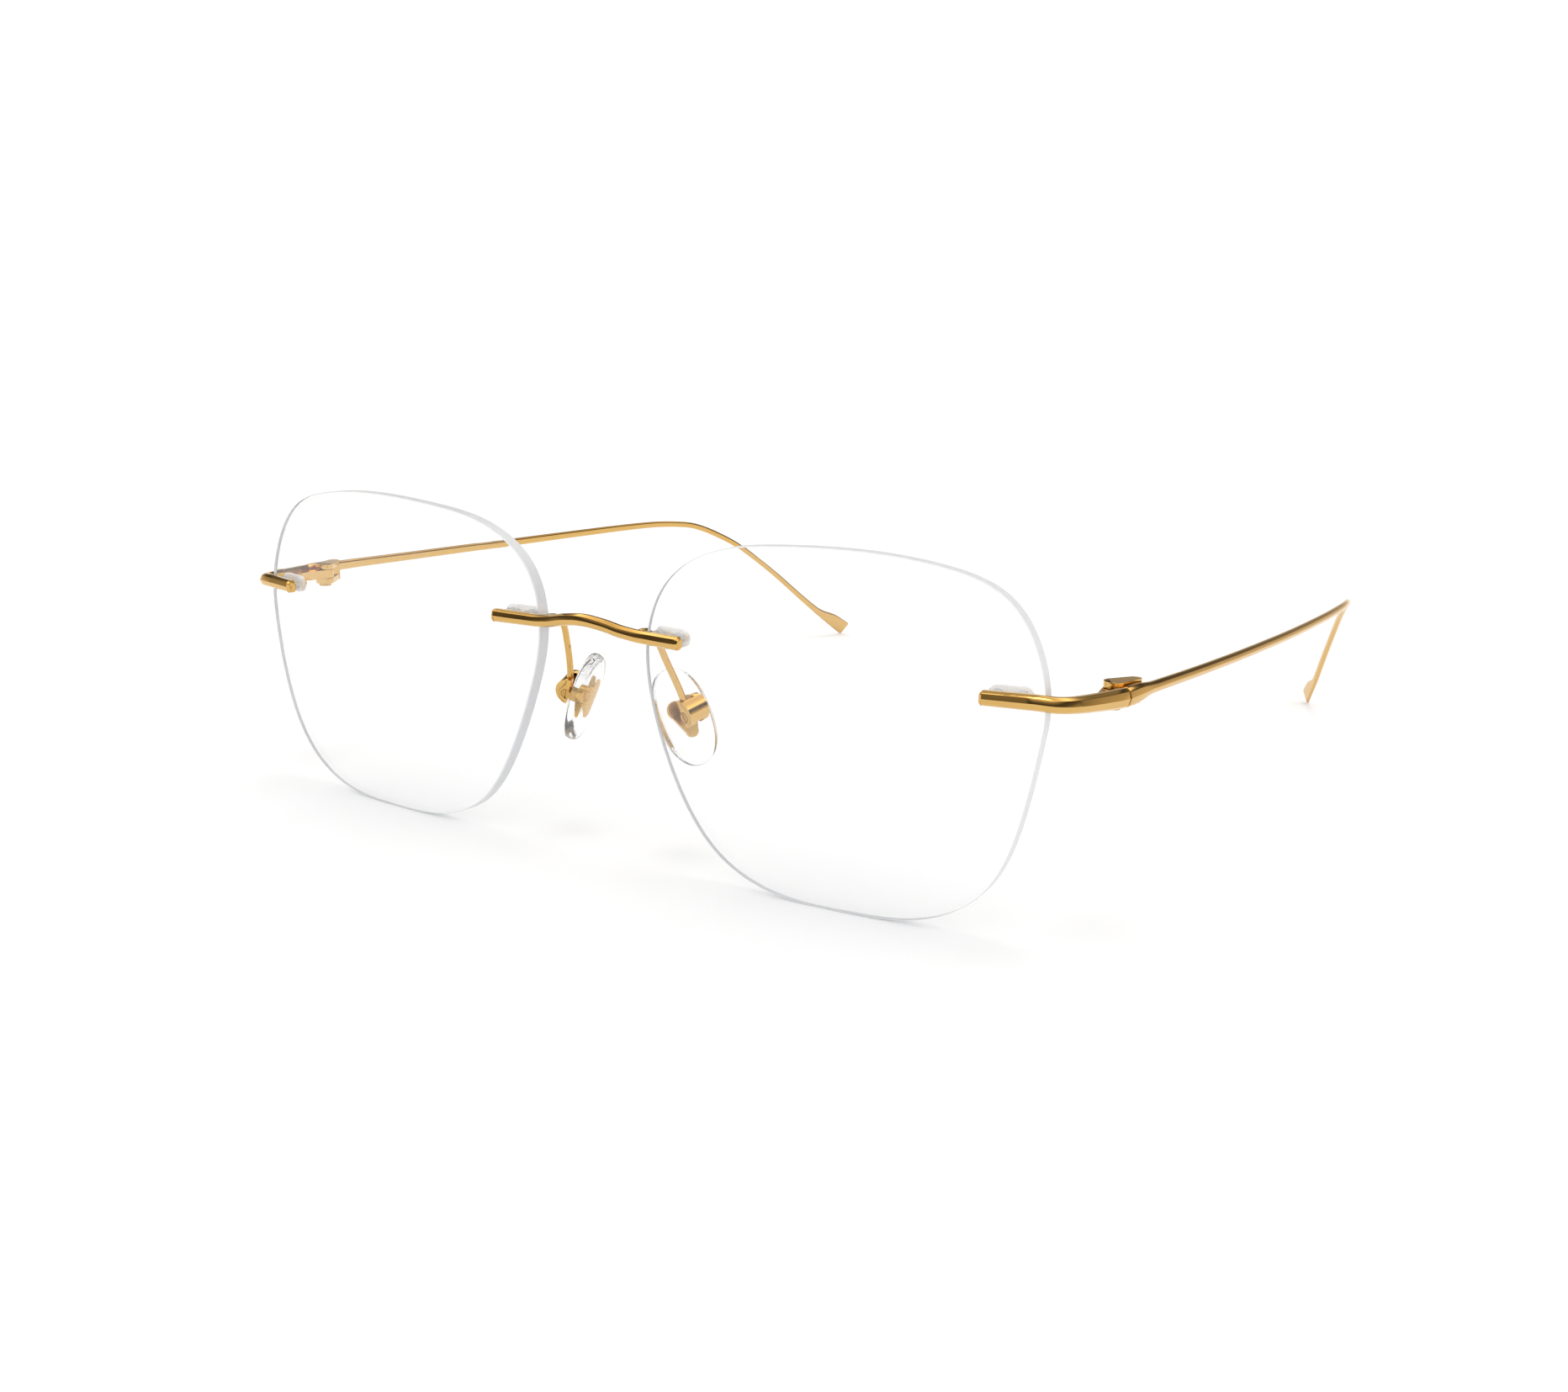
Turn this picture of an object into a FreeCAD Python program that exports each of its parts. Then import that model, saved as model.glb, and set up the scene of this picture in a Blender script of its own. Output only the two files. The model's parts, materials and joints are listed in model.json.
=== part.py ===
import FreeCAD, Part
import math
import os

# Rimless eyeglasses, modelled open and standing on a table.
# +X points to the wearer's left, +Y from the lenses back to the ear ends, +Z up.
# Everything is drawn for the wearer's left (+X) side with the lens pole plane at
# Y = 0 and the lens pole at Z = 0, and mirrored for the right side. The whole is
# then leaned back until the lenses and the temple ends touch the table together,
# and moved so that the origin is the middle of the footprint on the table.
# Sizes are millimetres and angles are degrees.

V = FreeCAD.Vector
UP = V(0, 0, 1)
BACK = V(0, 1, 0)

# ---- driving dimensions -------------------------------------------------------

LEAN = 0.3345                  # how far the fronts of the lenses tip back
PAST = 1.0                     # how far a cutter runs past the faces it cuts
BAR_STEP = 1.0                 # spacing of the sections along bridge and endpieces
TEMPLE_STEP = 1.5

# lenses: spherical shells, their outline given from the lens pole (out, up)
LENS_POLE_X = 36.0
LENS_RADIUS = 114.0
LENS_THICKNESS = 1.7
LENS_WRAP = 4.8
LENS_BEVEL = 0.12              # the fine safety bevel round both edges
LENS_BLANK = (-2.0, 20.0)      # front face and thickness of the flat blank
LENS_OUTLINE = [
    (22.5, 0.5), (21.8, 8.0), (17.6, 14.6), (10.0, 17.4), (0.0, 18.2), (-10.2, 17.7),
    (-19.0, 16.0), (-25.2, 11.7), (-27.7, 4.5), (-26.2, -4.6), (-22.7, -13.1),
    (-17.1, -20.4), (-8.7, -23.8), (0.0, -24.1), (8.5, -23.4), (16.1, -19.2), (20.5, -10.0),
]

# compression mounts: two pins in a double plastic sleeve pushed through the lens
BRIDGE_MOUNT = (-24.7, 5.3)    # out, up from the lens pole
ENDPIECE_MOUNT = (18.6, 4.07)
PIN_SPACING = 2.8
PIN_RADIUS = 0.4
PIN_TAIL = 0.5                 # pin left standing behind the sleeve
SLEEVE_RADIUS = 0.75
SLEEVE_PLATE = (5.0, 0.6, 2.1)
SLEEVE_GAP = 0.12
BAR_GAP = 0.1                  # bar to lens

# bars and temples share a nine-sided section with a ridge on its outer side,
# as (outward, upward) fractions of the half thickness and the half height
RIDGED_SECTION = [
    (-1.0, -0.62), (-1.0, 0.62), (-0.6, 1.0), (0.1, 1.0), (0.65, 0.72),
    (1.0, 0.0), (0.65, -0.72), (0.1, -1.0), (-0.6, -1.0),
]
BAR_HALF_DEPTH = 0.75
END_CHAMFER = 0.3

# bridge stations from its outer end to the middle: x, y, z, half depth, half height
BRIDGE_HALF = [
    (13.8, -0.45, 5.20, 0.75, 0.82),
    (11.3, -0.15, 5.15, 0.75, 0.80),
    (8.4, 0.05, 5.15, 0.72, 0.78),
    (5.6, -0.10, 5.40, 0.70, 0.75),
    (2.8, -0.45, 6.00, 0.70, 0.74),
]
BRIDGE_MIDDLE = (0.0, -0.65, 6.30, 0.70, 0.74)

# endpiece behind its lens mount, up to the hinge gap: the same five values
ENDPIECE_INNER_REACH = 2.7
ENDPIECE_FRONT = [(0.75, 0.84), (0.75, 0.86), (0.78, 0.87)]
ENDPIECE_BACK = [
    (59.4, 3.85, 3.93, 0.80, 0.88),
    (60.4, 5.20, 3.78, 0.80, 0.90),
    (61.1, 7.20, 3.60, 0.80, 0.95),
    (61.7, 9.60, 3.42, 0.78, 1.00),
    (62.35, 12.4, 3.25, 0.75, 1.07),
    (62.95, 15.12, 3.12, 0.75, 1.14),
]

# temple: x, y, z, half thickness, half height, roll of the section, inset that
# moves the section off the line towards the head
TEMPLE = [
    (63.00, 15.42, 3.12, 0.75, 1.14, 0, 0.0),
    (63.25, 17.5, 3.16, 0.75, 1.12, 0, 0.0),
    (63.42, 19.2, 3.20, 0.73, 1.04, 0, 0.0),
    (63.54, 20.5, 3.24, 0.62, 0.74, 0, 0.0),
    (63.78, 23.0, 3.20, 0.60, 0.69, 0, 0.0),
    (64.45, 36.0, 2.78, 0.58, 0.64, 0, 0.0),
    (65.05, 54.0, 2.25, 0.58, 0.62, 0, 0.0),
    (65.30, 72.0, 1.78, 0.56, 0.60, 0, 0.0),
    (65.10, 88.0, 1.42, 0.54, 0.58, 0, 0.0),
    (64.40, 101.0, 1.08, 0.52, 0.55, 0, 0.0),
    (62.80, 110.5, 0.28, 0.50, 0.52, 0, 0.0),
    (59.70, 120.0, -3.26, 0.47, 0.50, 5, 0.0),
    (55.75, 130.0, -10.37, 0.45, 0.48, 12, 0.0),
    (53.00, 136.6, -16.04, 0.44, 0.52, 15, 0.02),
    (51.40, 140.6, -19.45, 0.42, 0.62, 15, 0.12),
    (49.85, 144.3, -22.50, 0.38, 1.28, 15, 0.78),
    (48.75, 146.9, -24.55, 0.34, 1.40, 15, 0.90),
]

# hinge: one knuckle on the endpiece between two on the temple
HINGE = (60.9, 17.0, 3.05)
KNUCKLE_RADIUS = 1.25
MIDDLE_KNUCKLE = 1.2           # heights
OUTER_KNUCKLE = 0.75
KNUCKLE_GAP = 0.05
FRONT_LEAF_END = (61.2, 12.8, 0.7)     # x, y, radius
TEMPLE_LEAF_END = (62.2, 20.0, 0.7)
WEB = (61.6, 18.45, 1.2, 2.1)          # x, y, width, length
HINGE_SCREW_RADIUS = 0.5
HINGE_SCREW_HEAD = (0.85, 0.4)         # radius, height
HINGE_SCREW_TIP = 0.35                 # solid metal left above the screw

# nose pad: set by the pad box, whose frame has X away from the nose, Y along the
# screw towards the back and Z up the long side of the pad
PAD_BOX = (9.9, 9.4, -5.5)
PAD_TURN = (-19, -19, 15)
PAD_BOX_DOME = (-0.3, 0.4, 1.8)        # flat side X, centre Z, radius of its half-round
PAD_BOX_LENGTH = 3.0
PAD_BOX_SLOT = (1.3, 0.75)             # width, how far past the screw it is cut
PAD_SCREW_RADIUS = 0.375
PAD_SCREW_HEAD = (0.65, 0.35)
PAD_BORE = 0.4
PAD_EYE = 0.43
PAD_TONGUE = (1.1, 0.65)               # width, radius round the screw
PAD_SIZE = (2.7, 7.6, 12.8)            # thickness, width, length
PAD_PLACE = (-0.7, -0.25)              # X of its face towards the lens, middle Z
PAD_EDGE = 1.1                         # rounding
PAD_PLATE = (0.5, -1.7)                # thickness, X of its face towards the lens
PLATE_LOBES = [(1.05, 1.0, 1.15), (-1.05, 1.0, 1.15), (0.0, -2.1, 0.85)]

# nose pad arm: a round wire from the back of the bridge down to the pad box
ARM_RADIUS = 0.42
ARM_LINE = [
    (7.15, 0.6, 5.35), (7.2, 2.6, 5.35), (7.45, 4.6, 4.55), (7.85, 6.1, 2.0),
    (8.25, 7.0, 0.0), (8.7, 7.85, -2.0), (9.3, 8.6, -4.4),
]

SLOT_WIDTH = 0.2                       # screwdriver slots
SLOT_DEPTH = 0.15


# ---- curves and sections ------------------------------------------------------

def slopes(places, values):
    """Slopes of a smooth curve through the values that never overshoots them."""
    steps = [(b - a) / (q - p) for a, b, p, q in zip(values, values[1:], places, places[1:])]
    inner = [2 * a * b / (a + b) if a * b > 0 else 0.0 for a, b in zip(steps, steps[1:])]
    return [steps[0]] + inner + [steps[-1]]


def between(places, values, tangents, place):
    """The curve's value at one place."""
    i = max(k for k in range(len(places) - 1) if places[k] <= place)
    span = places[i + 1] - places[i]
    t = (place - places[i]) / span
    start = (1 + 2 * t) * (1 - t) ** 2 * values[i] + t * (1 - t) ** 2 * span * tangents[i]
    end = t * t * (3 - 2 * t) * values[i + 1] + t * t * (t - 1) * span * tangents[i + 1]
    return start + end


def fill_in(stations, step):
    """More stations, about a step apart, on a smooth curve through the given ones."""
    places = [0.0]
    for a, b in zip(stations, stations[1:]):
        places.append(places[-1] + V(*a[:3]).distanceToPoint(V(*b[:3])))
    columns = list(zip(*stations))
    tangents = [slopes(places, column) for column in columns]
    count = round(places[-1] / step)
    return [
        tuple(between(places, c, t, places[-1] * i / count) for c, t in zip(columns, tangents))
        for i in range(count + 1)
    ]


def section_corners(centre, along, half_depth, half_height, roll, inset):
    """The ridged section's corners, square to the direction given."""
    outward = along.cross(UP).normalize()
    outward = FreeCAD.Rotation(along, -roll).multVec(outward)
    upward = outward.cross(along).normalize()
    middle = centre + upward * inset
    return [
        middle + outward * (a * half_depth) + upward * (b * half_height)
        for a, b in RIDGED_SECTION
    ]


def closed_face(corners):
    return Part.Face(Part.makePolygon(corners + corners[:1]))


def skin(sections):
    """A solid whose long edges are smooth curves through the sections' corners."""
    edges = []
    for track in zip(*sections):
        curve = Part.BSplineCurve()
        curve.interpolate(list(track))
        edges.append(curve.toShape())
    faces = [Part.makeRuledSurface(a, b) for a, b in zip(edges, edges[1:] + edges[:1])]
    faces.append(closed_face(sections[0]))
    faces.append(closed_face(sections[-1]))
    shell = Part.makeShell(faces)
    shell.sewShape()
    solid = Part.Solid(shell)
    if solid.Volume < 0:
        solid.reverse()
    return solid


def end_cap(station, outside):
    """A short tapered block that finishes a bar's end."""
    x, y, z, half_depth, half_height, roll, inset = station
    inner = section_corners(V(x, y, z), outside, half_depth, half_height, roll, inset)
    centre = sum(inner, V(0, 0, 0)) * (1 / len(inner))
    outer = []
    for corner in inner:
        inwards = (centre - corner).normalize()
        outer.append(corner + outside * END_CHAMFER + inwards * END_CHAMFER)
    return Part.makeLoft([Part.makePolygon(w + w[:1]) for w in (inner, outer)], True, True)


def ridged_bar(stations):
    """A bar through stations of x, y, z, half depth, half height, roll and inset."""
    sections = []
    for i, (x, y, z, depth, height, roll, inset) in enumerate(stations):
        before = V(*stations[max(i - 1, 0)][:3])
        after = V(*stations[min(i + 1, len(stations) - 1)][:3])
        along = (after - before).normalize()
        sections.append(section_corners(V(x, y, z), along, depth, height, roll, inset))
    return skin(sections)


def end_direction(last, previous):
    return (V(*last[:3]) - V(*previous[:3])).normalize()


def plain(stations):
    """Stations with no roll and no inset."""
    return [tuple(station) + (0, 0.0) for station in stations]


def cylinder(radius, start, along, length):
    return Part.makeCylinder(radius, length, start, along)


def block(size, corner):
    return Part.makeBox(size[0], size[1], size[2], corner)


def link(first, second, bottom, height):
    """A flat link round two circles, each given as x, y, radius."""
    (x1, y1, r1), (x2, y2, r2) = first, second
    gap = math.hypot(x2 - x1, y2 - y1)
    heading = math.atan2(y2 - y1, x2 - x1)
    spread = math.acos((r1 - r2) / gap)
    corners = []
    for sign, pair in ((1, (first, second)), (-1, (second, first))):
        angle = heading + sign * spread
        for x, y, r in pair:
            corners.append(V(x + r * math.cos(angle), y + r * math.sin(angle), bottom))
    middle = Part.Face(Part.makePolygon(corners + corners[:1])).extrude(UP * height)
    ends = [cylinder(r, V(x, y, bottom), UP, height) for x, y, r in (first, second)]
    return middle.multiFuse(ends).removeSplitter()


# ---- lenses and their mounts --------------------------------------------------

def lens_placement():
    return FreeCAD.Placement(V(LENS_POLE_X, 0, 0), FreeCAD.Rotation(UP, LENS_WRAP))


def mount_placement(mount):
    """A frame on the lens's front: X along the lens outwards, Y into it, Z up."""
    out, up = mount
    depth = LENS_RADIUS - math.sqrt(LENS_RADIUS ** 2 - out ** 2 - up ** 2)
    tilt = math.degrees(math.asin(out / LENS_RADIUS))
    local = FreeCAD.Placement(V(out, depth, up), FreeCAD.Rotation(UP, tilt))
    return lens_placement().multiply(local)


def pin_places():
    return (-PIN_SPACING / 2, PIN_SPACING / 2)


def lens():
    curve = Part.BSplineCurve()
    curve.interpolate(Points=[V(u, 0, v) for u, v in LENS_OUTLINE], PeriodicFlag=True)
    front, thickness = LENS_BLANK
    blank = Part.Face(Part.Wire(curve.toShape())).extrude(V(0, thickness, 0))
    blank.translate(V(0, front, 0))
    centre = V(0, LENS_RADIUS, 0)
    outside = Part.makeSphere(LENS_RADIUS, centre)
    inside = Part.makeSphere(LENS_RADIUS - LENS_THICKNESS, centre)
    shape = blank.common(outside.cut(inside))
    rims = [edge for edge in shape.Edges if edge.Length > LENS_RADIUS]
    shape = shape.makeChamfer(LENS_BEVEL, rims)
    shape.Placement = lens_placement()
    drill_depth = LENS_THICKNESS + PAST * 2
    for mount in (BRIDGE_MOUNT, ENDPIECE_MOUNT):
        frame = mount_placement(mount)
        for x in pin_places():
            hole = cylinder(SLEEVE_RADIUS, V(x, -PAST, 0), BACK, drill_depth)
            hole.Placement = frame
            shape = shape.cut(hole)
    return shape


def pins(mount):
    length = BAR_GAP + LENS_THICKNESS + SLEEVE_GAP + SLEEVE_PLATE[1] + PIN_TAIL
    pair = [cylinder(PIN_RADIUS, V(x, -BAR_GAP, 0), BACK, length) for x in pin_places()]
    shape = Part.makeCompound(pair)
    shape.Placement = mount_placement(mount)
    return shape


def sleeve(mount):
    """Two tubes in the lens, joined by a rounded plate behind it."""
    long, thick, tall = SLEEVE_PLATE
    start = LENS_THICKNESS + SLEEVE_GAP
    end = (long - tall) / 2
    plate = block((long - tall, thick, tall), V(-end, start, -tall / 2))
    solids = [cylinder(tall / 2, V(x, start, 0), BACK, thick) for x in (-end, end)]
    for x in pin_places():
        solids.append(cylinder(SLEEVE_RADIUS, V(x, BAR_GAP, 0), BACK, start))
    shape = plate.multiFuse(solids)
    bore = start + thick + PAST * 2
    for x in pin_places():
        shape = shape.cut(cylinder(PIN_RADIUS, V(x, -PAST, 0), BACK, bore))
    shape.Placement = mount_placement(mount)
    return shape


# ---- bridge, endpieces and temples --------------------------------------------

def bridge():
    other_half = [(-x, y, z, d, h) for x, y, z, d, h in reversed(BRIDGE_HALF)]
    keys = list(reversed(BRIDGE_HALF + [BRIDGE_MIDDLE] + other_half))
    stations = fill_in(plain(keys), BAR_STEP)
    shape = ridged_bar(stations)
    for last, previous in ((stations[0], stations[1]), (stations[-1], stations[-2])):
        shape = shape.fuse(end_cap(last, end_direction(last, previous)))
    return shape


def endpiece():
    frame = mount_placement(ENDPIECE_MOUNT)
    offset = -BAR_GAP - BAR_HALF_DEPTH
    keys = []
    for x, (depth, height) in zip((-1, 0, 1), ENDPIECE_FRONT):
        place = frame.multVec(V(x * ENDPIECE_INNER_REACH, offset, 0))
        keys.append((place.x, place.y, place.z, depth, height))
    stations = fill_in(plain(keys + ENDPIECE_BACK), BAR_STEP)
    shape = ridged_bar(stations)
    return shape.fuse(end_cap(stations[0], end_direction(stations[0], stations[1])))


def temple():
    return ridged_bar(fill_in(TEMPLE, TEMPLE_STEP))


# ---- hinge --------------------------------------------------------------------

def front_knuckle(front):
    """The middle knuckle, with a leaf brazed to the inside of the endpiece."""
    x, y, z = HINGE
    bottom = z - MIDDLE_KNUCKLE / 2
    shape = link((x, y, KNUCKLE_RADIUS), FRONT_LEAF_END, bottom, MIDDLE_KNUCKLE)
    depth = MIDDLE_KNUCKLE + PAST * 2
    bore = cylinder(HINGE_SCREW_RADIUS + KNUCKLE_GAP, V(x, y, bottom - PAST), UP, depth)
    return shape.cut(bore).cut(front)


def temple_knuckles(side_arm):
    """The two outer knuckles as one fork, brazed to the inside of the temple."""
    x, y, z = HINGE
    top = z + MIDDLE_KNUCKLE / 2 + KNUCKLE_GAP
    bottom = z - MIDDLE_KNUCKLE / 2 - KNUCKLE_GAP - OUTER_KNUCKLE
    around = (x, y, KNUCKLE_RADIUS)
    shape = link(around, TEMPLE_LEAF_END, top, OUTER_KNUCKLE)
    shape = shape.fuse(link(around, TEMPLE_LEAF_END, bottom, OUTER_KNUCKLE))
    web_x, web_y, width, length = WEB
    height = top - bottom
    shape = shape.fuse(block((width, length, height), V(web_x, web_y, bottom)))
    bore_height = top + OUTER_KNUCKLE - HINGE_SCREW_TIP - bottom + PAST
    bore = cylinder(HINGE_SCREW_RADIUS, V(x, y, bottom - PAST), UP, bore_height)
    return shape.cut(bore).cut(side_arm).removeSplitter()


def slot(radius, middle, along):
    """A screwdriver slot across a head whose face is at the middle given."""
    cutter = block(
        (SLOT_WIDTH, radius * 3, SLOT_DEPTH * 2), V(-SLOT_WIDTH / 2, -radius * 1.5, -SLOT_DEPTH)
    )
    cutter.Placement = FreeCAD.Placement(middle, FreeCAD.Rotation(UP, along))
    return cutter


def hinge_screw():
    x, y, z = HINGE
    head_radius, head_height = HINGE_SCREW_HEAD
    bottom = z - MIDDLE_KNUCKLE / 2 - KNUCKLE_GAP - OUTER_KNUCKLE
    top = z + MIDDLE_KNUCKLE / 2 + KNUCKLE_GAP + OUTER_KNUCKLE - HINGE_SCREW_TIP
    shank = cylinder(HINGE_SCREW_RADIUS, V(x, y, bottom), UP, top - bottom)
    head = cylinder(head_radius, V(x, y, bottom - head_height), UP, head_height)
    return shank.fuse(head).cut(slot(head_radius, V(x, y, bottom - head_height), UP))


# ---- nose pads ----------------------------------------------------------------

def pad_placement():
    return FreeCAD.Placement(V(*PAD_BOX), FreeCAD.Rotation(*PAD_TURN))


def box_dome():
    """The half-round outside of the pad box, its flat side towards the pad."""
    flat, middle, radius = PAD_BOX_DOME
    length = PAD_BOX_LENGTH
    dome = cylinder(radius, V(flat, -length / 2, middle), BACK, length)
    beyond = block((radius, length, radius * 2), V(flat - radius, -length / 2, middle - radius))
    return dome.cut(beyond)


def pad_box():
    """The half-round box, with a slot for the pad's tongue and a bore for its screw."""
    ahead = V(0, -PAD_BOX_LENGTH / 2, 0)
    box = box_dome()
    width, past = PAD_BOX_SLOT
    reach = PAD_BOX_DOME[2] * 2
    box = box.cut(block((reach + past, width, reach * 2), V(-reach, -width / 2, -reach)))
    box = box.cut(cylinder(PAD_BORE, ahead, BACK, PAD_BOX_LENGTH))
    head_radius, head_height = PAD_SCREW_HEAD
    box = box.cut(cylinder(head_radius + KNUCKLE_GAP, ahead, BACK, head_height))
    box.Placement = pad_placement()
    return box


def pad_screw():
    head_radius, head_height = PAD_SCREW_HEAD
    ahead = V(0, -PAD_BOX_LENGTH / 2, 0)
    shape = cylinder(PAD_SCREW_RADIUS, ahead, BACK, PAD_BOX_LENGTH)
    shape = shape.fuse(cylinder(head_radius, ahead, BACK, head_height))
    shape = shape.cut(slot(head_radius, ahead, BACK))
    shape.Placement = pad_placement()
    return shape


def plate_outline():
    """Three lobes and the straight sides between them, for the plate in the pad."""
    thick, face = PAD_PLATE
    start = V(face - thick, 0, 0)
    across = V(1, 0, 0)
    lobes = [cylinder(r, start + V(0, y, z), across, thick) for y, z, r in PLATE_LOBES]
    (y1, z1, r1), (_, _, _), (_, z3, r3) = PLATE_LOBES
    corners = [V(0, y1 + r1, z1), V(0, -y1 - r1, z1), V(0, -r3, z3), V(0, r3, z3)]
    corners = [start + corner for corner in corners]
    middle = Part.Face(Part.makePolygon(corners + corners[:1])).extrude(across * thick)
    return middle.multiFuse(lobes).removeSplitter()


def local_pad_core():
    """The metal plate inside the pad, and the tongue that the screw goes through."""
    width, radius = PAD_TONGUE
    thick, face = PAD_PLATE
    tongue = block((-face, width, radius * 2), V(face, -width / 2, -radius))
    tongue = tongue.fuse(cylinder(radius, V(0, -width / 2, 0), BACK, width))
    tongue = tongue.cut(cylinder(PAD_EYE, V(0, -width, 0), BACK, width * 2))
    return plate_outline().fuse(tongue).removeSplitter()


def pad_core():
    shape = local_pad_core()
    shape.Placement = pad_placement()
    return shape


def nose_pad():
    """A soft oval pad with rounded edges, moulded round its plate."""
    thick, width, length = PAD_SIZE
    ellipse = Part.Ellipse(V(0, 0, 0), length / 2, width / 2)
    face = Part.Face(Part.Wire(ellipse.toShape()))
    back, middle = PAD_PLACE
    face.Placement = FreeCAD.Placement(V(back, 0, middle), FreeCAD.Rotation(BACK, 90))
    shape = face.extrude(V(-thick, 0, 0))
    rims = [edge for edge in shape.Edges if edge.Length > length]
    shape = shape.makeFillet(PAD_EDGE, rims).cut(local_pad_core())
    shape.Placement = pad_placement()
    return shape


def pad_arm(bar):
    """The wire that carries the pad box, trimmed to the bridge and to the box."""
    line = Part.BSplineCurve()
    line.interpolate([V(*point) for point in ARM_LINE])
    spine = Part.Wire(line.toShape())
    start = line.tangent(line.FirstParameter)[0]
    round_wire = Part.Wire(Part.makeCircle(ARM_RADIUS, V(*ARM_LINE[0]), start))
    sweep = Part.BRepOffsetAPI.MakePipeShell(spine)
    sweep.add(round_wire)
    sweep.build()
    sweep.makeSolid()
    whole_box = box_dome()
    whole_box.Placement = pad_placement()
    trimmed = sweep.shape().cut(bar).cut(whole_box)
    return max(trimmed.Solids, key=lambda solid: solid.Volume)


# ---- assembly -----------------------------------------------------------------

def one_side(bar):
    """Every piece of the wearer's left side."""
    front = endpiece()
    side_arm = temple()
    return {
        "lens": lens(),
        "bridge_pins": pins(BRIDGE_MOUNT),
        "bridge_sleeve": sleeve(BRIDGE_MOUNT),
        "endpiece_pins": pins(ENDPIECE_MOUNT),
        "endpiece_sleeve": sleeve(ENDPIECE_MOUNT),
        "endpiece": front,
        "endpiece_knuckle": front_knuckle(front),
        "temple": side_arm,
        "temple_knuckles": temple_knuckles(side_arm),
        "hinge_screw": hinge_screw(),
        "pad_arm": pad_arm(bar),
        "pad_box": pad_box(),
        "pad_screw": pad_screw(),
        "pad_core": pad_core(),
        "nose_pad": nose_pad(),
    }


def table_placement(lens_shape, temple_shape, bar):
    """The lean, and the move that puts the origin in the middle of the footprint."""
    lean = FreeCAD.Placement(V(0, 0, 0), FreeCAD.Rotation(V(1, 0, 0), LEAN))
    boxes = []
    for shape in (lens_shape, temple_shape, bar):
        leaned = shape.transformed(lean.toMatrix(), True)
        boxes.append(leaned.optimalBoundingBox())
    front = min(box.YMin for box in boxes)
    back = max(box.YMax for box in boxes)
    table = min(box.ZMin for box in boxes)
    move = FreeCAD.Placement(V(0, -(front + back) / 2, -table), FreeCAD.Rotation())
    print("lens lowest %.3f, temple lowest %.3f" % (boxes[0].ZMin - table, boxes[1].ZMin - table))
    return move.multiply(lean)


def save(name, shape, to_table):
    shape = shape.transformed(to_table.toMatrix(), True)
    shape.exportStep(os.path.join("parts", name + ".step"))
    box = shape.optimalBoundingBox()
    print("%-24s solids %d valid %s volume %8.2f  x %7.2f %7.2f  y %7.2f %7.2f  z %6.2f %6.2f" % (
        name, len(shape.Solids), shape.isValid(), shape.Volume,
        box.XMin, box.XMax, box.YMin, box.YMax, box.ZMin, box.ZMax))


def report(name, placement, point, axis):
    """Print a joint's point in metres and its axis, for the record."""
    place = tuple(placement.multVec(point) * 0.001)
    direction = tuple(placement.Rotation.multVec(axis))
    print("%s at (%.5f, %.5f, %.5f) axis (%.4f, %.4f, %.4f)" % ((name,) + place + direction))


def main():
    os.makedirs("parts", exist_ok=True)
    bar = bridge()
    pieces = one_side(bar)
    to_table = table_placement(pieces["lens"], pieces["temple"], bar)
    save("bridge", bar, to_table)
    for name, shape in pieces.items():
        save(name + "_left", shape, to_table)
        save(name + "_right", shape.mirror(V(0, 0, 0), V(1, 0, 0)), to_table)
    report("temple fold", to_table, V(*HINGE), UP)
    report("nose pad rock", to_table, V(*PAD_BOX), pad_placement().Rotation.multVec(BACK))


main()
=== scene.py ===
import json
import math

import bmesh
import bpy
from mathutils import Matrix, Vector


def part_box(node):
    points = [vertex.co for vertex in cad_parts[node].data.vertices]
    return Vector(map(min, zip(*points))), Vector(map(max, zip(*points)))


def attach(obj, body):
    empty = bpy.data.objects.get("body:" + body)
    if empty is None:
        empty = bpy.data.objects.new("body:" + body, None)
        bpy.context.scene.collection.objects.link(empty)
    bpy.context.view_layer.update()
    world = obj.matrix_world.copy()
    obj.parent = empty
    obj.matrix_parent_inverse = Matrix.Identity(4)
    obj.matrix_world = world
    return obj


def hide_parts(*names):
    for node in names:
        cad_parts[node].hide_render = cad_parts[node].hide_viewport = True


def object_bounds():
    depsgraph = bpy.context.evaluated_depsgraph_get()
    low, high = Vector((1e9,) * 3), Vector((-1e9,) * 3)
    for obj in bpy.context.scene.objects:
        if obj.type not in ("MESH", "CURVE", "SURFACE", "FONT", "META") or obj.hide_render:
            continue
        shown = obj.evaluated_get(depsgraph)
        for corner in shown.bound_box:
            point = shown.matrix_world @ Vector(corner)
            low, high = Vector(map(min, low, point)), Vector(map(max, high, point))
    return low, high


# Rimless eyeglasses standing open on a pale table. Units are metres, in the CAD frame:
# +X to the wearer's left, +Y back to the ear ends, +Z up.

MM = 0.001
SIDES = (("left", 1), ("right", -1))

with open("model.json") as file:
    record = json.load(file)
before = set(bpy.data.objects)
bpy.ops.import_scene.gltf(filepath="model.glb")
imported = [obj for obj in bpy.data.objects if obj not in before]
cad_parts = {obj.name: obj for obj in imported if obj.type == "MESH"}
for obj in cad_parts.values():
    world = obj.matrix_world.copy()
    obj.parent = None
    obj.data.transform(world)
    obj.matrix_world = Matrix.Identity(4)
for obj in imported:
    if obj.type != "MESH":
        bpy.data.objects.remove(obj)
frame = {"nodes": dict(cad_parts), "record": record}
cad_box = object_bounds()

# ---- driving values -----------------------------------------------------------

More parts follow.
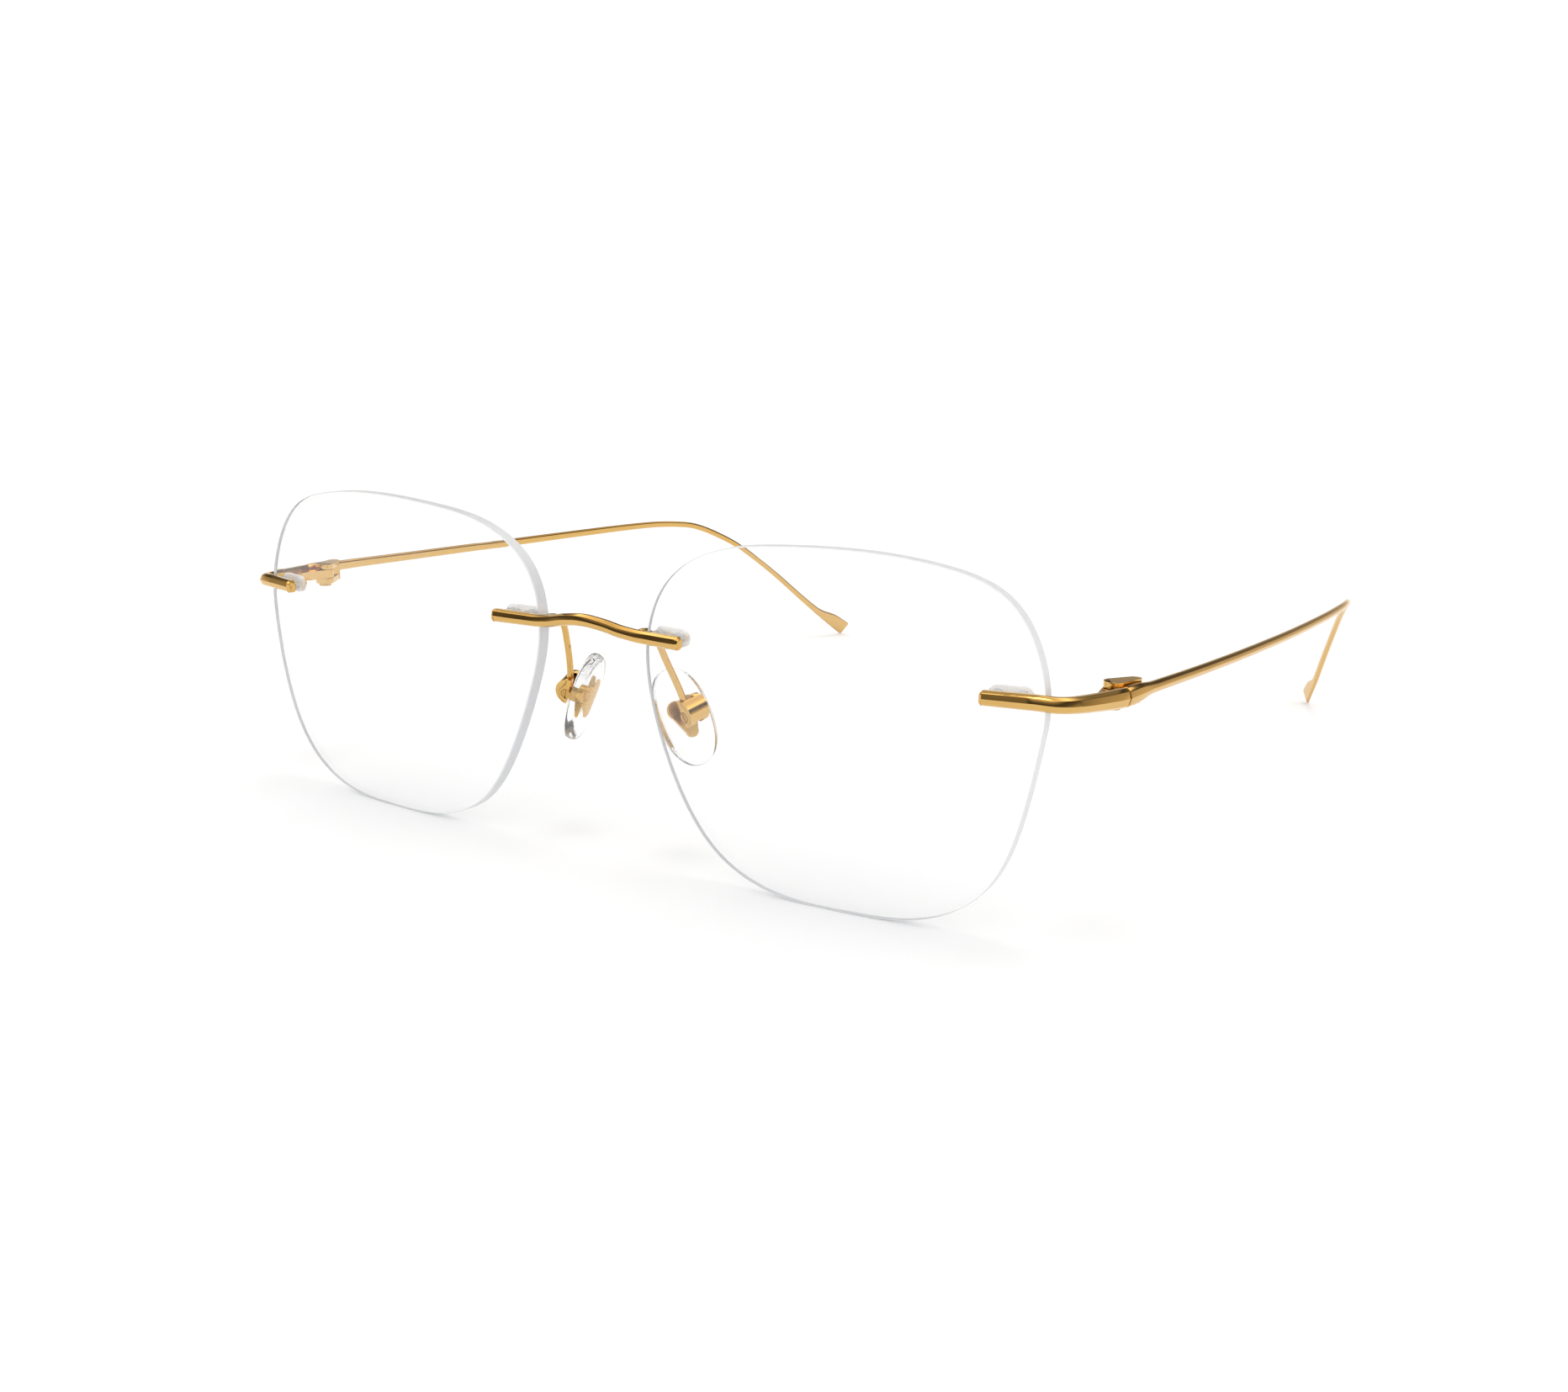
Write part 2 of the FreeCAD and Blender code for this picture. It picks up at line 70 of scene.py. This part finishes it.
SENSOR_WIDTH = 36              # millimetres
CAMERA_PLACE = Vector((128.8, -237.0, 70.2)) * MM
CAMERA_AZIMUTH = 31.05
CAMERA_ELEVATION = 13.46
CAMERA_ROLL = 1.86
CAMERA_LENS = 40.15
CAMERA_SHIFT = (-0.0094, 0.0055)
NEAREST_SEEN = 0.01

GOLD = (0.74, 0.46, 0.15)
GOLD_DARKER = (0.65, 0.39, 0.12)
PATCH_SHADE = 0.9              # of the gold's colour, in its darker patches
MILKY_PLASTIC = (0.975, 0.968, 0.955)
SILICONE = (0.975, 0.978, 0.98)
PLASTIC_PALER = 1.02
LENS_CLEAR = (0.980, 0.984, 0.986)
LENS_CLEARER = (0.990, 0.993, 0.995)
LENS_IOR = 1.5
LENS_ROUGHNESS = (0.0, 0.012)
EDGE_GREY = (0.71, 0.72, 0.74)
EDGE_PALER = (0.79, 0.80, 0.82)
EDGE_CLEARNESS = 0.2
EDGE_ROUGHNESS = (0.30, 0.45)
FLOOR_WHITE = 0.9
FLOOR_SHADE = 0.99             # of the floor's colour, in its darker clouds
FLOOR_ROUGHNESS = 0.8
FLOOR_SHINE = 0.1
FLOOR_RADIUS = 4.0

# noise: how fine each pattern is, and the depth of those that are also relief
GOLD_PATCHES = 260
POLISHING_MARKS = 2200
WIPING_MARKS = 40
GROUND_GRAIN = 1500
PLASTIC_CLOUDS = 900
FLOOR_CLOUDS = 6
MARK_DEPTH = 0.002 * MM
GRAIN_DEPTH = 0.006 * MM
CLOUD_DEPTH = 0.004 * MM
NOISE_MIDDLE = (0.3, 0.7)      # where most of a noise's values lie

# share of the lamp's light that passes, square on and along the surface
LENS_PASSES = (0.98, 0.80)
EDGE_PASSES = (0.7, 0.45)
PLASTIC_PASSES = (0.96, 0.6)

# the ends of the temples: satin from this far before the tip, over this length
SATIN_LENGTH = 22 * MM
SATIN_FADE = 8 * MM
SATIN_ROUGHER = 0.12

# the surroundings, as (height from 0 at the level of the eye to 1 overhead, level)
ROOM_WHITE = 1.06              # the room's light on the table
BACKDROP_WHITE = 1.06          # the wall behind, as seen directly or through glass
WALL_LEVELS = ((0.0, BACKDROP_WHITE), (0.30, BACKDROP_WHITE), (0.46, 0.32), (1.0, 0.5))
MIRRORED_LEVELS = (
    (0.0, 0.90), (0.10, 0.68), (0.22, 0.38), (0.34, 0.12), (0.46, 0.07), (0.58, 0.35),
    (0.72, 2.1), (0.86, 1.4), (1.0, 0.8),
)
MIRRORED_WARMTH = (1.0, 0.90, 0.72)
SUN_STRENGTH = 0.50
SUN_ANGLE = 22                 # degrees across
SUN_PLACE = (0.0, 0.05, 1.0)

# how far sharp edges of the metal pieces are rounded, in millimetres
ROUNDING = {
    "bridge": 0.16,
    "endpiece": 0.16,
    "temple": 0.12,
    "temple_knuckles": 0.08,
    "endpiece_knuckle": 0.08,
    "pad_box": 0.10,
    "pad_core": 0.06,
    "pad_screw": 0.04,
    "hinge_screw": 0.05,
}
ROUNDING_STEPS = 3
SHARP_ANGLE = 16               # degrees between faces that counts as an edge
QUAD_BEND = 12                 # degrees between two triangles that may become one quad
WELD = 0.002 * MM
LENS_FACE_SLOPE = 0.88         # the lens's two faces have a larger Y in their normals

# nose pads: turned as in the CAD model (yaw, pitch, roll of the wearer's left one)
PAD_TURN = (-19, -19, 15)
PAD_LEAN = 0.3345
PAD_HALF = Vector((1.33, 3.75, 6.35)) * MM     # thickness, width, length, halved
PAD_OVAL = 2.25                # 2 would be an ellipse
PAD_RIM_STEPS = 12             # over its rim, from back to face
PAD_RIM_START = 0.84           # share of the way out where the rim begins
PAD_RIM_HALF = 0.76            # share of the half thickness at the rim
PAD_POINTS_AROUND = 72


# ---- materials ----------------------------------------------------------------

def new_material(name):
    material = bpy.data.materials.new(name)
    material.use_nodes = True
    nodes = material.node_tree.nodes
    return material, nodes, material.node_tree.links, nodes["Principled BSDF"]


def noise(nodes, links, scale, detail=3.0, stretch=None):
    """Noise on the piece's own coordinates, drawn out along an axis if asked."""
    place = nodes.new("ShaderNodeTexCoord")
    texture = nodes.new("ShaderNodeTexNoise")
    texture.inputs["Scale"].default_value = scale
    texture.inputs["Detail"].default_value = detail
    source = place.outputs["Object"]
    if stretch:
        mapping = nodes.new("ShaderNodeMapping")
        mapping.inputs["Scale"].default_value = stretch
        links.new(source, mapping.inputs["Vector"])
        source = mapping.outputs["Vector"]
    links.new(source, texture.inputs["Vector"])
    return texture.outputs["Fac"]


def spread(nodes, links, source, low, high):
    """Maps the middle of a 0 to 1 value onto a range."""
    node = nodes.new("ShaderNodeMapRange")
    node.inputs["From Min"].default_value, node.inputs["From Max"].default_value = NOISE_MIDDLE
    node.inputs["To Min"].default_value = low
    node.inputs["To Max"].default_value = high
    links.new(source, node.inputs["Value"])
    return node.outputs["Result"]


def tint(nodes, links, source, first, second):
    """One colour where the value is 0, the other where it is 1."""
    mix = nodes.new("ShaderNodeMix")
    mix.data_type = "RGBA"
    mix.inputs["A"].default_value = (*first, 1)
    mix.inputs["B"].default_value = (*second, 1)
    links.new(source, mix.inputs["Factor"])
    return mix.outputs["Result"]


def combined(nodes, links, operation, first, second):
    node = nodes.new("ShaderNodeMath")
    node.operation = operation
    links.new(first, node.inputs[0])
    links.new(second, node.inputs[1])
    return node.outputs["Value"]


def bump(nodes, links, source, height, principled):
    node = nodes.new("ShaderNodeBump")
    node.inputs["Distance"].default_value = height
    node.inputs["Strength"].default_value = 0.5
    links.new(source, node.inputs["Height"])
    links.new(node.outputs["Normal"], principled.inputs["Normal"])


def gold_material(name, colour, smooth, rough, satin_from=None):
    """Gold plating with faint polishing marks; past satin_from in Y it turns satin."""
    material, nodes, links, principled = new_material(name)
    principled.inputs["Metallic"].default_value = 1.0
    patches = noise(nodes, links, GOLD_PATCHES, detail=4)
    darker = tuple(PATCH_SHADE * c for c in colour)
    links.new(tint(nodes, links, patches, darker, colour), principled.inputs["Base Color"])
    marks = noise(nodes, links, POLISHING_MARKS, stretch=(1.0, 0.25, 1.0))
    level = spread(nodes, links, marks, smooth, rough)
    if satin_from is not None:
        level = satin_tip(nodes, links, level, satin_from)
    links.new(level, principled.inputs["Roughness"])
    bump(nodes, links, marks, MARK_DEPTH, principled)
    return material


def satin_tip(nodes, links, level, start):
    """Raises a roughness past the start in Y."""
    place = nodes.new("ShaderNodeTexCoord")
    parts = nodes.new("ShaderNodeSeparateXYZ")
    links.new(place.outputs["Object"], parts.inputs["Vector"])
    ramp = nodes.new("ShaderNodeMapRange")
    ramp.inputs["From Min"].default_value = start
    ramp.inputs["From Max"].default_value = start + SATIN_FADE
    ramp.inputs["To Min"].default_value = 0.0
    ramp.inputs["To Max"].default_value = SATIN_ROUGHER
    links.new(parts.outputs["Y"], ramp.inputs["Value"])
    return combined(nodes, links, "ADD", level, ramp.outputs["Result"])


def let_lamps_through(material, face_on, edge_on):
    """Light from lamps passes, more of it square on than along the surface."""
    nodes = material.node_tree.nodes
    links = material.node_tree.links
    weight = nodes.new("ShaderNodeLayerWeight")
    weight.inputs["Blend"].default_value = 0.5
    clear = nodes.new("ShaderNodeBsdfTransparent")
    shade = tint(nodes, links, weight.outputs["Facing"], (face_on,) * 3, (edge_on,) * 3)
    links.new(shade, clear.inputs["Color"])
    path = nodes.new("ShaderNodeLightPath")
    mix = nodes.new("ShaderNodeMixShader")
    links.new(path.outputs["Is Shadow Ray"], mix.inputs["Fac"])
    links.new(nodes["Principled BSDF"].outputs["BSDF"], mix.inputs[1])
    links.new(clear.outputs["BSDF"], mix.inputs[2])
    links.new(mix.outputs["Shader"], nodes["Material Output"].inputs["Surface"])


def lens_material():
    """Clear polished plastic."""
    material, nodes, links, principled = new_material("clear_lens")
    principled.inputs["Transmission Weight"].default_value = 1.0
    principled.inputs["IOR"].default_value = LENS_IOR
    wiping = noise(nodes, links, WIPING_MARKS, detail=5)
    links.new(tint(nodes, links, wiping, LENS_CLEAR, LENS_CLEARER), principled.inputs["Base Color"])
    links.new(spread(nodes, links, wiping, *LENS_ROUGHNESS), principled.inputs["Roughness"])
    let_lamps_through(material, *LENS_PASSES)
    return material


def ground_edge_material():
    """The lens's finely ground edge, cloudy rather than clear."""
    material, nodes, links, principled = new_material("ground_lens_edge")
    principled.inputs["Transmission Weight"].default_value = EDGE_CLEARNESS
    principled.inputs["IOR"].default_value = LENS_IOR
    grain = noise(nodes, links, GROUND_GRAIN, detail=5)
    links.new(tint(nodes, links, grain, EDGE_GREY, EDGE_PALER), principled.inputs["Base Color"])
    links.new(spread(nodes, links, grain, *EDGE_ROUGHNESS), principled.inputs["Roughness"])
    bump(nodes, links, grain, GRAIN_DEPTH, principled)
    let_lamps_through(material, *EDGE_PASSES)
    return material


def plastic_material(name, colour, clearness, ior, smooth, rough):
    """Soft plastic, from milky to clear."""
    material, nodes, links, principled = new_material(name)
    principled.inputs["Transmission Weight"].default_value = clearness
    principled.inputs["IOR"].default_value = ior
    clouds = noise(nodes, links, PLASTIC_CLOUDS, detail=4)
    paler = tuple(min(1.0, PLASTIC_PALER * c) for c in colour)
    links.new(tint(nodes, links, clouds, colour, paler), principled.inputs["Base Color"])
    links.new(spread(nodes, links, clouds, smooth, rough), principled.inputs["Roughness"])
    bump(nodes, links, clouds, CLOUD_DEPTH, principled)
    let_lamps_through(material, *PLASTIC_PASSES)
    return material


def floor_material():
    material, nodes, links, principled = new_material("pale_floor")
    principled.inputs["Roughness"].default_value = FLOOR_ROUGHNESS
    principled.inputs["Specular IOR Level"].default_value = FLOOR_SHINE
    clouds = noise(nodes, links, FLOOR_CLOUDS)
    pale = (FLOOR_WHITE,) * 3
    darker = (FLOOR_SHADE * FLOOR_WHITE,) * 3
    links.new(tint(nodes, links, clouds, pale, darker), principled.inputs["Base Color"])
    return material


# ---- pieces -------------------------------------------------------------------

def body_of_node(node):
    bodies = frame["record"]["behaviour"]["bodies"]
    return next(name for name, nodes in bodies.items() if node in nodes)


def add_piece(name, mesh, material, node):
    piece = bpy.data.objects.new(name, mesh)
    bpy.context.scene.collection.objects.link(piece)
    mesh.materials.clear()
    mesh.materials.append(material)
    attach(piece, body_of_node(node))
    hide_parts(node)
    return piece


def apply_modifiers(piece):
    graph = bpy.context.evaluated_depsgraph_get()
    finished = bpy.data.meshes.new_from_object(piece.evaluated_get(graph))
    old = piece.data
    piece.modifiers.clear()
    piece.data = finished
    bpy.data.meshes.remove(old)


def quad_mesh(node):
    """The node's shape with its triangles paired into quads and welded."""
    source = frame["nodes"][node].data
    shape = bmesh.new()
    corners = [shape.verts.new(v.co) for v in source.vertices]
    for face in source.polygons:
        loop = [corners[i] for i in face.vertices]
        if shape.faces.get(loop) is None:
            shape.faces.new(loop)
    bmesh.ops.remove_doubles(shape, verts=shape.verts, dist=WELD)
    bmesh.ops.dissolve_degenerate(shape, edges=shape.edges, dist=WELD)
    bmesh.ops.join_triangles(
        shape, faces=shape.faces, angle_face_threshold=math.radians(QUAD_BEND),
        angle_shape_threshold=math.radians(180), cmp_sharp=False,
    )
    bmesh.ops.recalc_face_normals(shape, faces=shape.faces)
    mesh = bpy.data.meshes.new(node + "_mesh")
    shape.to_mesh(mesh)
    shape.free()
    return mesh


def rounded_metal(kind, node, material):
    """The CAD shape with its sharp edges rounded, as polished metal has them."""
    mesh = quad_mesh(node)
    piece = add_piece(node + "_metal", mesh, material, node)
    mesh.shade_smooth()
    bevel = piece.modifiers.new("round", "BEVEL")
    bevel.width = ROUNDING[kind] * MM
    bevel.segments = ROUNDING_STEPS
    bevel.limit_method = "ANGLE"
    bevel.angle_limit = math.radians(SHARP_ANGLE)
    bevel.use_clamp_overlap = True
    normals = piece.modifiers.new("normals", "WEIGHTED_NORMAL")
    normals.keep_sharp = True
    apply_modifiers(piece)
    return piece


def lens(side, clear, ground):
    """The CAD lens with its edge and drilled holes ground instead of polished."""
    node = "lens_" + side
    mesh = frame["nodes"][node].data.copy()
    piece = add_piece(node + "_polished", mesh, clear, node)
    mesh.materials.append(ground)
    for face in mesh.polygons:
        face.material_index = int(abs(face.normal.y) < LENS_FACE_SLOPE)
    return piece


def pad_rotation(sign):
    yaw, pitch, roll = (math.radians(a) for a in PAD_TURN)
    turn = Matrix.Rotation(pitch, 4, "Y") @ Matrix.Rotation(roll, 4, "X")
    turn = Matrix.Rotation(yaw, 4, "Z") @ turn
    turn = Matrix.Rotation(math.radians(PAD_LEAN), 4, "X") @ turn
    mirror = Matrix.Diagonal((sign, 1, 1, 1))
    return mirror @ turn


def power(value, exponent):
    """A power that keeps the value's sign."""
    return math.copysign(abs(value) ** exponent, value)


def pad_profile():
    """Half section of the pad from the middle of its back to the middle of its face.

    Each point is a share of the way out to the rim and a share of the half thickness.
    """
    back = [(0.0, 0.94), (0.22, 0.93), (0.40, 0.89), (0.56, 0.83), (0.72, 0.79)]
    rim = []
    for k in range(PAD_RIM_STEPS + 1):
        angle = math.radians(90 - 180 * k / PAD_RIM_STEPS)
        out = PAD_RIM_START + (1 - PAD_RIM_START) * power(math.cos(angle), 0.8)
        rim.append((out, PAD_RIM_HALF * power(math.sin(angle), 0.9)))
    face = [(0.72, -0.84), (0.56, -0.91), (0.40, -0.96), (0.20, -0.99), (0.0, -1.0)]
    return back + rim + face


def nose_pad(side, sign, material):
    """An oval cushion of clear silicone with a crowned face, rounded rim and fuller back."""
    node = "nose_pad_" + side
    low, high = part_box(node)
    centre = (Vector(low) + Vector(high)) / 2
    place = Matrix.Translation(centre) @ pad_rotation(sign)
    shape = bmesh.new()
    rings = []
    for out, lift in pad_profile():
        ring = []
        for k in range(PAD_POINTS_AROUND):
            a = 2 * math.pi * k / PAD_POINTS_AROUND
            across = out * PAD_HALF.y * power(math.cos(a), 2 / PAD_OVAL)
            along = out * PAD_HALF.z * power(math.sin(a), 2 / PAD_OVAL)
            ring.append(place @ Vector((lift * PAD_HALF.x, across, along)))
        rings.append(ring)
    corners = [[shape.verts.new(p) for p in ring] for ring in rings[1:-1]]
    for ring, next_ring in zip(corners, corners[1:]):
        for k in range(PAD_POINTS_AROUND):
            shape.faces.new((ring[k], ring[k - 1], next_ring[k - 1], next_ring[k]))
    for ring, tip in ((corners[0], rings[0][0]), (corners[-1], rings[-1][0])):
        middle = shape.verts.new(tip)
        for k in range(PAD_POINTS_AROUND):
            shape.faces.new((ring[k], ring[k - 1], middle))
    bmesh.ops.recalc_face_normals(shape, faces=shape.faces)
    mesh = bpy.data.meshes.new(node + "_mesh")
    shape.to_mesh(mesh)
    shape.free()
    piece = add_piece(node + "_silicone", mesh, material, node)
    mesh.shade_smooth()
    subdivide = piece.modifiers.new("smooth", "SUBSURF")
    subdivide.levels = 1
    subdivide.render_levels = 1
    apply_modifiers(piece)
    return piece


# ---- studio -------------------------------------------------------------------

def make_floor():
    bpy.ops.mesh.primitive_circle_add(vertices=96, radius=FLOOR_RADIUS, fill_type="NGON")
    floor = bpy.context.object
    floor.name = "floor"
    floor.data.materials.append(floor_material())


def sun_light():
    data = bpy.data.lights.new("sun", "SUN")
    data.energy = SUN_STRENGTH
    data.angle = math.radians(SUN_ANGLE)
    lamp = bpy.data.objects.new("sun", data)
    bpy.context.scene.collection.objects.link(lamp)
    lamp.rotation_euler = Vector(SUN_PLACE).to_track_quat("Z", "Y").to_euler()


def colour_ramp(nodes, links, source, stops, shade=(1.0, 1.0, 1.0)):
    """Levels of one shade along a 0 to 1 value, as (position, level)."""
    ramp = nodes.new("ShaderNodeValToRGB")
    elements = ramp.color_ramp.elements
    for element, (position, level) in zip(elements, (stops[0], stops[-1])):
        element.position = position
        element.color = (*(level * c for c in shade), 1)
    for position, level in stops[1:-1]:
        element = elements.new(position)
        element.color = (*(level * c for c in shade), 1)
    links.new(source, ramp.inputs["Fac"])
    return ramp.outputs["Color"]


def mixed(nodes, links, factor, first, second):
    mix = nodes.new("ShaderNodeMix")
    mix.data_type = "RGBA"
    links.new(factor, mix.inputs["Factor"])
    links.new(first, mix.inputs["A"])
    links.new(second, mix.inputs["B"])
    return mix.outputs["Result"]


def make_world():
    """Three surroundings, told apart by what looks at them.

    The table and other dull surfaces see a white room. The camera and clear pieces see a
    white wall with a darker ceiling. Mirror reflections see a dark room with a bright
    panel overhead. Light that has met a dull surface already sees only the white room.
    """
    world = bpy.data.worlds.new("studio")
    bpy.context.scene.world = world
    world.use_nodes = True
    nodes = world.node_tree.nodes
    links = world.node_tree.links
    place = nodes.new("ShaderNodeTexCoord")
    parts = nodes.new("ShaderNodeSeparateXYZ")
    links.new(place.outputs["Generated"], parts.inputs["Vector"])
    height = parts.outputs["Z"]
    room = nodes.new("ShaderNodeRGB").outputs["Color"]
    room.default_value = (ROOM_WHITE, ROOM_WHITE, ROOM_WHITE, 1)
    wall = colour_ramp(nodes, links, height, WALL_LEVELS)
    mirror = colour_ramp(nodes, links, height, MIRRORED_LEVELS, MIRRORED_WARMTH)
    path = nodes.new("ShaderNodeLightPath")
    seen = combined(
        nodes, links, "MAXIMUM", path.outputs["Is Camera Ray"], path.outputs["Is Transmission Ray"])
    mirrored = combined(
        nodes, links, "MULTIPLY", path.outputs["Is Glossy Ray"], path.outputs["Is Reflection Ray"])
    direct = nodes.new("ShaderNodeMath")
    direct.operation = "LESS_THAN"
    direct.inputs[1].default_value = 0.5
    links.new(path.outputs["Diffuse Depth"], direct.inputs[0])
    seen = combined(nodes, links, "MULTIPLY", seen, direct.outputs["Value"])
    mirrored = combined(nodes, links, "MULTIPLY", mirrored, direct.outputs["Value"])
    light = mixed(nodes, links, seen, room, wall)
    light = mixed(nodes, links, mirrored, light, mirror)
    links.new(light, nodes["Background"].inputs["Color"])


def make_camera():
    data = bpy.data.cameras.new("camera")
    data.sensor_width = SENSOR_WIDTH
    data.lens = CAMERA_LENS
    data.shift_x, data.shift_y = CAMERA_SHIFT
    data.clip_start = NEAREST_SEEN
    a = math.radians(CAMERA_AZIMUTH)
    e = math.radians(CAMERA_ELEVATION)
    r = math.radians(CAMERA_ROLL)
    back = Vector((math.sin(a) * math.cos(e), -math.cos(a) * math.cos(e), math.sin(e)))
    level = Vector((math.cos(a), math.sin(a), 0))
    over = back.cross(level)
    right = math.cos(r) * level + math.sin(r) * over
    up = math.cos(r) * over - math.sin(r) * level
    camera = bpy.data.objects.new("camera", data)
    bpy.context.scene.collection.objects.link(camera)
    turn = Matrix((right, up, back)).transposed().to_4x4()
    camera.matrix_world = Matrix.Translation(CAMERA_PLACE) @ turn
    bpy.context.scene.camera = camera


# ---- making -------------------------------------------------------------------

make_camera()
make_floor()
make_world()
sun_light()
bpy.context.scene.view_settings.view_transform = "Standard"

polished = gold_material("polished_gold", GOLD, smooth=0.035, rough=0.085)
rod_gold = gold_material(
    "temple_gold", GOLD, smooth=0.07, rough=0.14, satin_from=cad_box[1][1] - SATIN_LENGTH)
satin = gold_material("satin_gold", GOLD, smooth=0.24, rough=0.36)
screw_gold = gold_material("screw_gold", GOLD_DARKER, smooth=0.14, rough=0.24)
clear_lens = lens_material()
ground_edge = ground_edge_material()
sleeve = plastic_material(
    "milky_sleeve", MILKY_PLASTIC, clearness=0.50, ior=1.10, smooth=0.30, rough=0.45)
silicone = plastic_material(
    "clear_silicone", SILICONE, clearness=0.96, ior=1.30, smooth=0.03, rough=0.07)

# pieces shaped again in metal, and pieces that keep their CAD shape and take a material
METALS = (
    ("endpiece", polished), ("temple", rod_gold), ("temple_knuckles", polished),
    ("endpiece_knuckle", polished), ("pad_box", polished), ("pad_core", satin),
    ("pad_screw", screw_gold), ("hinge_screw", screw_gold),
)
CARRIED = (
    ("bridge_sleeve", sleeve), ("endpiece_sleeve", sleeve),
    ("bridge_pins", polished), ("endpiece_pins", polished), ("pad_arm", polished),
)

rounded_metal("bridge", "bridge", polished)
for side, sign in SIDES:
    for kind, material in METALS:
        rounded_metal(kind, kind + "_" + side, material)
    for kind, material in CARRIED:
        node = frame["nodes"][kind + "_" + side]
        for slot in node.material_slots:
            slot.material = material
    lens(side, clear_lens, ground_edge)
    nose_pad(side, sign, silicone)
